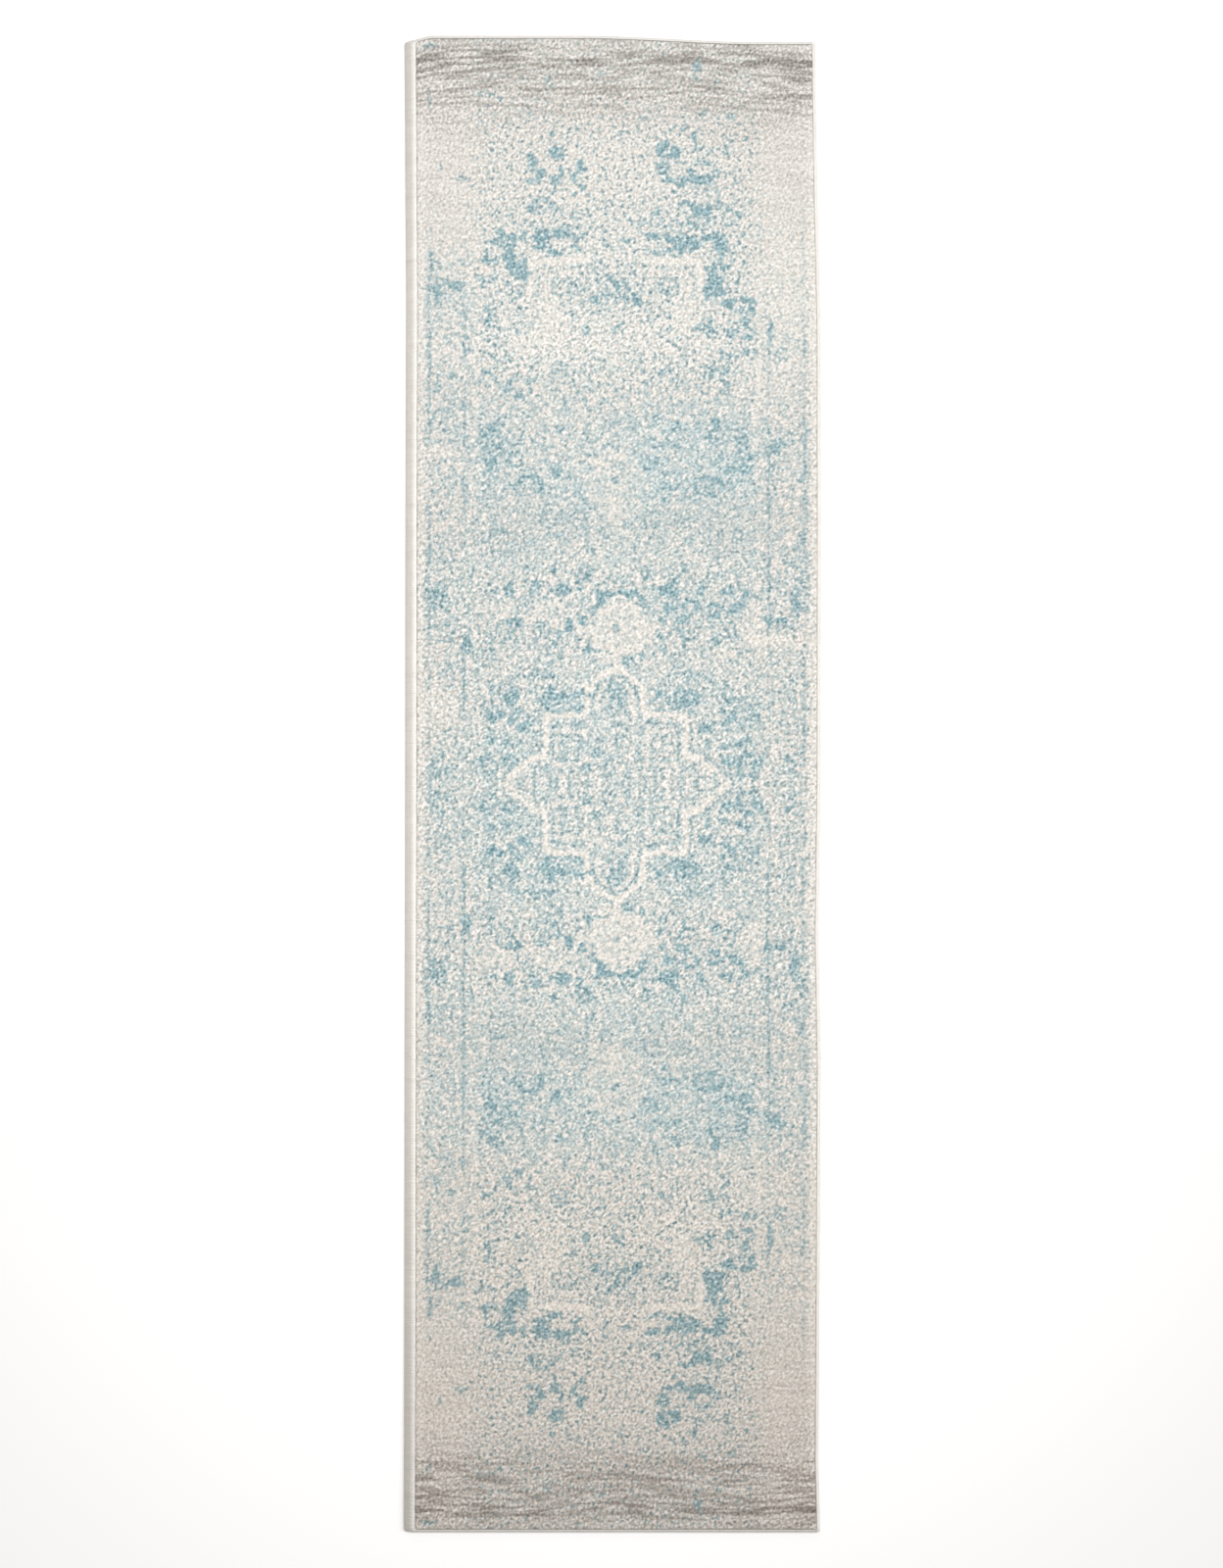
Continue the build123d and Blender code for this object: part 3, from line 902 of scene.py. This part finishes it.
def edge_path(step):
    """Inner and outer line of the right edge, from the foot's corner to the head's, with the distance run.
    The lines are straight beside the pile. At a corner the inner one follows a small circle, and the outer
    one a rounded square: cos and sin to the power 0.6 times its two half sides."""
    turn_x, turn_y = inner_x - corner_inner, inner_y - corner_inner
    quarter = np.linspace(0, np.pi / 2, 15)[1:]
    straight = np.linspace(-turn_y, turn_y, int(round(2 * turn_y / step)) + 1)
    angle = np.concatenate([-quarter[::-1], np.zeros(len(straight)), quarter])
    middle_y = np.concatenate([np.full(len(quarter), -turn_y), straight, np.full(len(quarter), turn_y)])
    cos, sin = np.cos(angle), np.sin(angle)
    inner = np.stack([turn_x + corner_inner * cos, middle_y + corner_inner * sin], -1)
    round_x, round_y = np.abs(cos) ** 0.6, np.sign(sin) * np.abs(sin) ** 0.6
    outer = np.stack([turn_x + (half_x - turn_x) * round_x, middle_y + (half_y - turn_y) * round_y], -1)
    centre = (inner + outer) / 2
    run = np.concatenate([[0], np.cumsum(np.hypot(*np.diff(centre, axis=0).T))])
    return inner, outer, np.sin(np.abs(angle)), run


inner_line, outer_line, turning, run = edge_path(ring_step)
print("edge path:", len(run), "stations over", brief(run[-1]), "m")

# %% The profile of an edge
# share of the way from the inner to the outer line, and height in mm, clockwise from the inner foot
profile_marks = np.array([
    (0.03, 0.3), (0.0, 3.0), (0.0, 6.6), (0.05, 7.9), (0.13, 8.5), (0.25, 8.7), (0.36, 8.4), (0.45, 7.6),
    (0.53, 6.9), (0.63, 6.2), (0.75, 5.1), (0.87, 3.7), (0.96, 2.1), (1.0, 0.9), (0.97, 0.1),
    (0.80, 0.0), (0.55, 0.0), (0.25, 0.0)])


def smooth_loop(marks, count):
    """A closed line through the marks, by cubic pieces that pass each mark in its neighbours' direction."""
    t = np.linspace(0, len(marks), count, endpoint=False)
    k, u = np.floor(t).astype(int), (t % 1)[:, None]
    p0, p1, p2, p3 = (marks[(k + shift) % len(marks)] for shift in (-1, 0, 1, 2))
    bend, twist = 2 * p0 - 5 * p1 + 4 * p2 - p3, 3 * p1 - p0 - 3 * p2 + p3
    curve = 2 * p1 + (p2 - p0) * u + bend * u ** 2 + twist * u ** 3
    return np.maximum(curve / 2, [0, 0])


profile = smooth_loop(profile_marks, 22)
share_step, height_step = (np.roll(profile, -1, axis=0) - np.roll(profile, 1, axis=0)).T
roll_width = 13  # mm; its square weighs the share, so that all but the upright faces are raised in full
upwards = roll_width ** 2 * share_step / np.hypot(height_step, roll_width ** 2 * share_step)
print("profile points:", len(profile))


# %% Winding the yarn
def wound_rings(inner, outer, run, tall, seed):
    """Rings of points along an edge. Each point is inner + (outer - inner) * share, at the profile's height,
    raised by the yarn: the size of a sine that repeats at each wrap and leans with the share, and knots of
    the crossing thread on the bead."""
    knot_pitch, bead_share = 2.4 * wrap_pitch, 0.25
    share, z = profile[:, 0][None, :], profile[:, 1][None, :]
    wraps = (run[:, None] + 1.1 * mm * (share - 0.2)) / wrap_pitch
    ridge = np.abs(np.sin(np.pi * wraps))
    wrap_count = int(wraps.max()) + 3
    random = np.random.default_rng(seed).normal(0, 0.10, wrap_count)
    uneven = np.interp(wraps, np.arange(wrap_count), random)
    on_bead = np.exp(-((share - bead_share) / 0.14) ** 2)
    knots = 0.22 * on_bead * np.cos(2 * np.pi * run[:, None] / knot_pitch)
    swell = (0.42 * ridge - 0.30 + uneven + knots) * soft_step(0.2, 2.0, z)
    height = np.maximum(z + swell * upwards, 0) * tall[:, None] * mm
    flat = inner[:, None, :] + (outer - inner)[:, None, :] * share[..., None]
    return np.concatenate([flat, height[..., None]], -1), ridge, uneven


# the bead's cream, and the slope's cream darkened as painted shade on the outer slope
bead_tone, painted_shade_slope_tone = np.array([255, 252, 247.]), np.array([243, 238, 232.])


def wound_colours(ridge, uneven):
    """Bright cream on the bead, and painted shade: greyer down the slope, darker between wraps and low in the
    groove beside the pile; a little darker on uneven wraps.
    """
    slope = soft_step(0.40, 0.54, profile[:, 0])[None, :] * np.ones_like(ridge)
    tone = mix(bead_tone, painted_shade_slope_tone, slope)
    # painted shade in the hollows between wraps; wraps that lie uneven are a little darker as well
    dark = 1 - 0.16 * (1 - ridge) - 0.25 * np.abs(uneven)
    # painted shade low on the inner wall, in the groove beside the pile
    groove = 1 - 0.10 * (1 - soft_step(5.0, 8.0, profile[:, 1]))[None, :] * (profile[:, 0] < 0.2)[None, :]
    return linear(tone) * dye_depth * (dark * groove)[..., None]


# %% Serging yarn material
serging_material, tree, shader = new_material("serging_yarn", roughness=0.85, sheen=0.1, specular=0.2)
place, yarn = attribute(tree, "rest", "Vector"), attribute(tree, "yarn", "Color")
ply = noise(tree, stretched(tree, place, (0.25, 1, 0.25)), 2200)
dust = noise(tree, place, 70, detail=3.0)
shade = toned(tree, yarn, ply, 0.90, 1.05)
connect(tree, shader, toned(tree, shade, dust, 0.95, 1.03), bumped(tree, ply, 0.25 * mm, 0.6))


# %% Tube pieces
def tube_piece(name, rings, material, colours=None):
    """A closed tube through the rings, laid like the rug, with its material and its flat places."""
    return dressed(closed_tube(name, lie(rings)), joined(rings), material, colours)


def tubes_by_section(name, rings, centre_y, material, colours=None):
    """A tube for each section, cut at the rings nearest to the section's edges."""
    cuts = [0] + [int(np.abs(centre_y - y).argmin()) for y in section_edges[1:-1]] + [len(rings) - 1]
    parts = [slice(low, high + 1) for low, high in zip(cuts, cuts[1:])]
    return [tube_piece(f"{name}_{where}", rings[part], material, None if colours is None else colours[part])
            for where, part in zip(section_names, parts)]


# %% Side binding pieces
sides, ends = {"left": -1, "right": 1}, {"head": 1, "foot": -1}
end_slimness = end_high.z / side_high.z  # the end binding is lower than the side binding
tall = 1 - (1 - end_slimness) * turning
centre_line = (inner_line + outer_line) / 2
side_bindings = {}
for side_name, side in sides.items():
    rings, ridge, uneven = wound_rings(inner_line, outer_line, run, tall, seed=80 + side)
    rings[..., 0] *= side
    side_bindings[side_name] = tubes_by_section(
        f"{side_name}_serging", rings, centre_line[:, 1], serging_material, wound_colours(ridge, uneven))
print("side binding pieces:", sum(map(len, side_bindings.values())),
      "with", len(side_bindings["left"][2].data.polygons), "faces")

# %% End binding pieces
end_inner_x = inner_x - corner_inner
end_bindings = {}
for end_name, end in ends.items():
    xs = np.linspace(-end_inner_x, end_inner_x, int(round(2 * end_inner_x / ring_step)) + 1)
    inner, outer = (np.stack([xs, np.full(len(xs), end * y)], -1) for y in (inner_y, half_y))
    low = np.full(len(xs), end_slimness)
    rings, ridge, uneven = wound_rings(inner, outer, xs - xs[0], low, seed=85 + end)
    end_bindings[end_name] = tube_piece(
        f"{end_name}_serging_roll", rings, serging_material, wound_colours(ridge, uneven))
print("end binding pieces:", len(end_bindings))

# %% [markdown]
# ## The cords inside
#
# The binding is wound round a twisted cord, three strands of cotton. It stays hidden, but it belongs to
# the rug, so it is there: a tube whose radius dips at the three valleys between strands, turning as it goes.

# %% Cord material
cord_material, tree, shader = new_material("edge_cord", roughness=0.9, specular=0.2)
fluff = noise(tree, attribute(tree, "rest", "Vector"), 1200)
cotton = two_tone(tree, fluff, (0.55, 0.49, 0.40), (0.78, 0.73, 0.64))
connect(tree, shader, cotton, bumped(tree, fluff, 0.2 * mm, 0.6))


# %% A twisted cord
twist_pitch = 14 * mm
strand_dip = 0.13


def twisted_rings(centre, aside, run, radius, around=9):
    """Rings round a line of centres. The radius is 1 - strand_dip * (1 + cos(3 * (angle - twist))) times the
    cord's, and the twist grows by a full turn in each twist_pitch."""
    angle = np.linspace(0, 2 * np.pi, around, endpoint=False)[None, :]
    twist = 2 * np.pi * run[:, None] / twist_pitch
    r = radius * (1 - strand_dip * (1 + np.cos(3 * (angle - twist))))
    out = aside[:, None, :] * (r * np.cos(angle))[..., None]
    rings = np.concatenate([centre[:, None, :2] + out, (centre[:, 2:] + r * np.sin(angle))[..., None]], -1)
    return rings


# %% Cord pieces
cord_share, cord_height = 0.48, 3.7 * mm  # where the cord's middle lies in the binding
side_cord_low, side_cord_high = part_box("right_edge_cord_head_end")
end_cord_low, end_cord_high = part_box("head_edge_cord")
side_cord_radius = (side_cord_high.x - side_cord_low.x) / 2
end_cord_radius = (end_cord_high.z - end_cord_low.z) / 2
every = slice(None, None, 2)  # a cord needs only half as many rings as the binding
cord_inner, cord_reach = inner_line[every], (outer_line - inner_line)[every]
cord_centre = np.concatenate([cord_inner + cord_reach * cord_share, cord_height * tall[every, None]], 1)
cord_aside = cord_reach / np.hypot(*cord_reach.T)[:, None]
cord_radius = np.where(turning[every] > 0, end_cord_radius, side_cord_radius)[:, None]
side_cords, end_cords = {}, {}
for side_name, side in sides.items():
    rings = twisted_rings(cord_centre, cord_aside, run[every], cord_radius)
    rings[..., 0] *= side
    side_cords[side_name] = tubes_by_section(f"{side_name}_cord", rings, cord_centre[:, 1], cord_material)
for end_name, end in ends.items():
    xs = np.linspace(-end_inner_x, end_inner_x, 360)
    depth = inner_y + (half_y - inner_y) * cord_share
    centre = np.stack([xs, np.full_like(xs, end * depth), np.full_like(xs, cord_height * end_slimness)], -1)
    aside = np.stack([np.zeros_like(xs), np.full_like(xs, end)], -1)
    rings = twisted_rings(centre, aside, xs - xs[0], np.full((len(xs), 1), end_cord_radius))
    end_cords[end_name] = tube_piece(f"{end_name}_cord", rings, cord_material)
print("cord pieces:", sum(map(len, side_cords.values())) + len(end_cords))

# %% [markdown]
# ## What each piece stands for, and how it moves
# Every layer of the imported model is three lengths, and every layer here is six, so a piece hides the
# part that it lies over. The layers are declared as sheets that lie on each other.

# %% Stand in for the imported parts, and ride
part_of_section = ["foot_end", "foot_end", "middle", "middle", "head_end", "head_end"]
for section, where in enumerate(part_of_section):
    layers = {"pile": pile_pieces[section], "ground_weave": ground_pieces[section],
              "latex_backing": latex_pieces[section]}
    for layer_name, piece in layers.items():
        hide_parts(f"{layer_name}_{where}")
    for side_name in sides:
        binding, cord = side_bindings[side_name][section], side_cords[side_name][section]
        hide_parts(f"{side_name}_serging_{where}")
        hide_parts(f"{side_name}_edge_cord_{where}")
        carry(binding, section)
        carry(cord, section)
    for piece in layers.values():
        carry(piece, section)
for end_name in ends:
    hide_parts(f"{end_name}_serging")
    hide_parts(f"{end_name}_edge_cord")
    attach(end_bindings[end_name], f"{end_name}_end")
    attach(end_cords[end_name], f"{end_name}_end")

for section in range(section_count):
    pile, ground, latex = pile_pieces[section], ground_pieces[section], latex_pieces[section]
    for piece, corner, under in ((pile, pile_high, [ground.name]), (ground, ground_high, [latex.name]),
                                 (latex, latex_high, [])):
        low = section_edges[section] if section else -corner.y
        high = section_edges[section + 1] if section < section_count - 1 else corner.y

# %% [markdown]
# ## Floor, light and camera
#
# A pale floor that gives a little light of its own stays white all round, as in a catalogue picture.
# Two soft lamps hang over the head end and the middle, so the light grows weaker towards the foot.
# A wide, soft sun comes in low from the right and models the edges. The room adds an even fill, brighter
# near the horizon than overhead. The camera looks straight down.


# %% Floor
def placed(name, data):
    """A new object in the scene that holds the data."""
    obj = bpy.data.objects.new(name, data)
    bpy.context.scene.collection.objects.link(obj)
    return obj


floor_mesh = bpy.data.meshes.new("floor")
floor_half, floor_z = 9, -0.4 * mm
floor_corners = [(x * floor_half, y * floor_half, floor_z) for x, y in ((-1, -1), (1, -1), (1, 1), (-1, 1))]
floor_mesh.from_pydata(floor_corners, [], [(0, 1, 2, 3)])
floor = placed("floor", floor_mesh)
floor_material, tree, shader = new_material("pale_floor", roughness=0.9, specular=0.1)
shader.inputs["Base Color"].default_value = (0.82, 0.82, 0.82, 1)
shader.inputs["Emission Color"].default_value = (1, 1, 1, 1)
shader.inputs["Emission Strength"].default_value = 0.34
floor_mesh.materials.append(floor_material)
floor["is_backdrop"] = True

# %% Room light
world = bpy.data.worlds.new("studio")
bpy.context.scene.world = world
world.use_nodes = True
sky = world.node_tree
background = sky.nodes["Background"]
background.inputs["Color"].default_value = (1.0, 0.965, 0.925, 1)
upward = node(sky, "SeparateXYZ", "Z", {"Vector": node(sky, "TexCoord", "Generated")})
fade = {"Value": upward, "From Min": 0.15, "From Max": 0.60, "To Min": 0.85, "To Max": 0.19}
strength = node(sky, "MapRange", "Result", fade, interpolation_type="SMOOTHSTEP")
sky.links.new(strength, background.inputs["Strength"])
print("room light:", fade["To Min"], "at the horizon,", fade["To Max"], "overhead")


# %% Lamps
def aimed_lamp(name, kind, direction, power, **settings):
    """A lamp that shines in the given direction."""
    data = bpy.data.lights.new(name, kind)
    data.energy = power
    for key, value in settings.items():
        setattr(data, key, value)
    lamp = placed(name, data)
    lamp.rotation_mode = "QUATERNION"
    lamp.rotation_quaternion = Vector(direction).to_track_quat("-Z", "Y")
    return lamp


for name, y, power, colour in (("head_lamp", 1.13, 9.7, (1.0, 1.0, 1.0)),
                               ("middle_lamp", -0.25, 10.4, (1.0, 0.985, 0.955))):
    lamp = aimed_lamp(name, "AREA", (0, 0, -1.3), power, shape="SQUARE", size=0.9, color=colour)
    lamp.location = (0.0, y, 1.3)
    lamp.visible_camera = False
aimed_lamp("window", "SUN", (-0.82, -0.22, -0.53), 1.5, angle=0.5)

# %% Camera
camera_data = bpy.data.cameras.new("camera")
camera = placed("camera", camera_data)
camera_data.sensor_width, camera_data.lens = 36.0, 70.0
frame_height = 2.555  # metres of floor from the top to the bottom of the view
camera.location = (0.0, 0.0, frame_height * camera_data.lens / camera_data.sensor_width)
camera.rotation_euler = (0, 0, 0)
bpy.context.scene.camera = camera
bpy.context.scene.view_settings.view_transform = "Standard"
print("camera height:", round(camera.location.z, 3))

# %% [markdown]
# ## Size
#
# The dressed rug has to fill the same box as the imported model, apart from a little fabric. Its box is printed.

# %% The box of the dressed rug
low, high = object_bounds()
print("dressed:", [round(v, 4) for v in low], "to", [round(v, 4) for v in high])
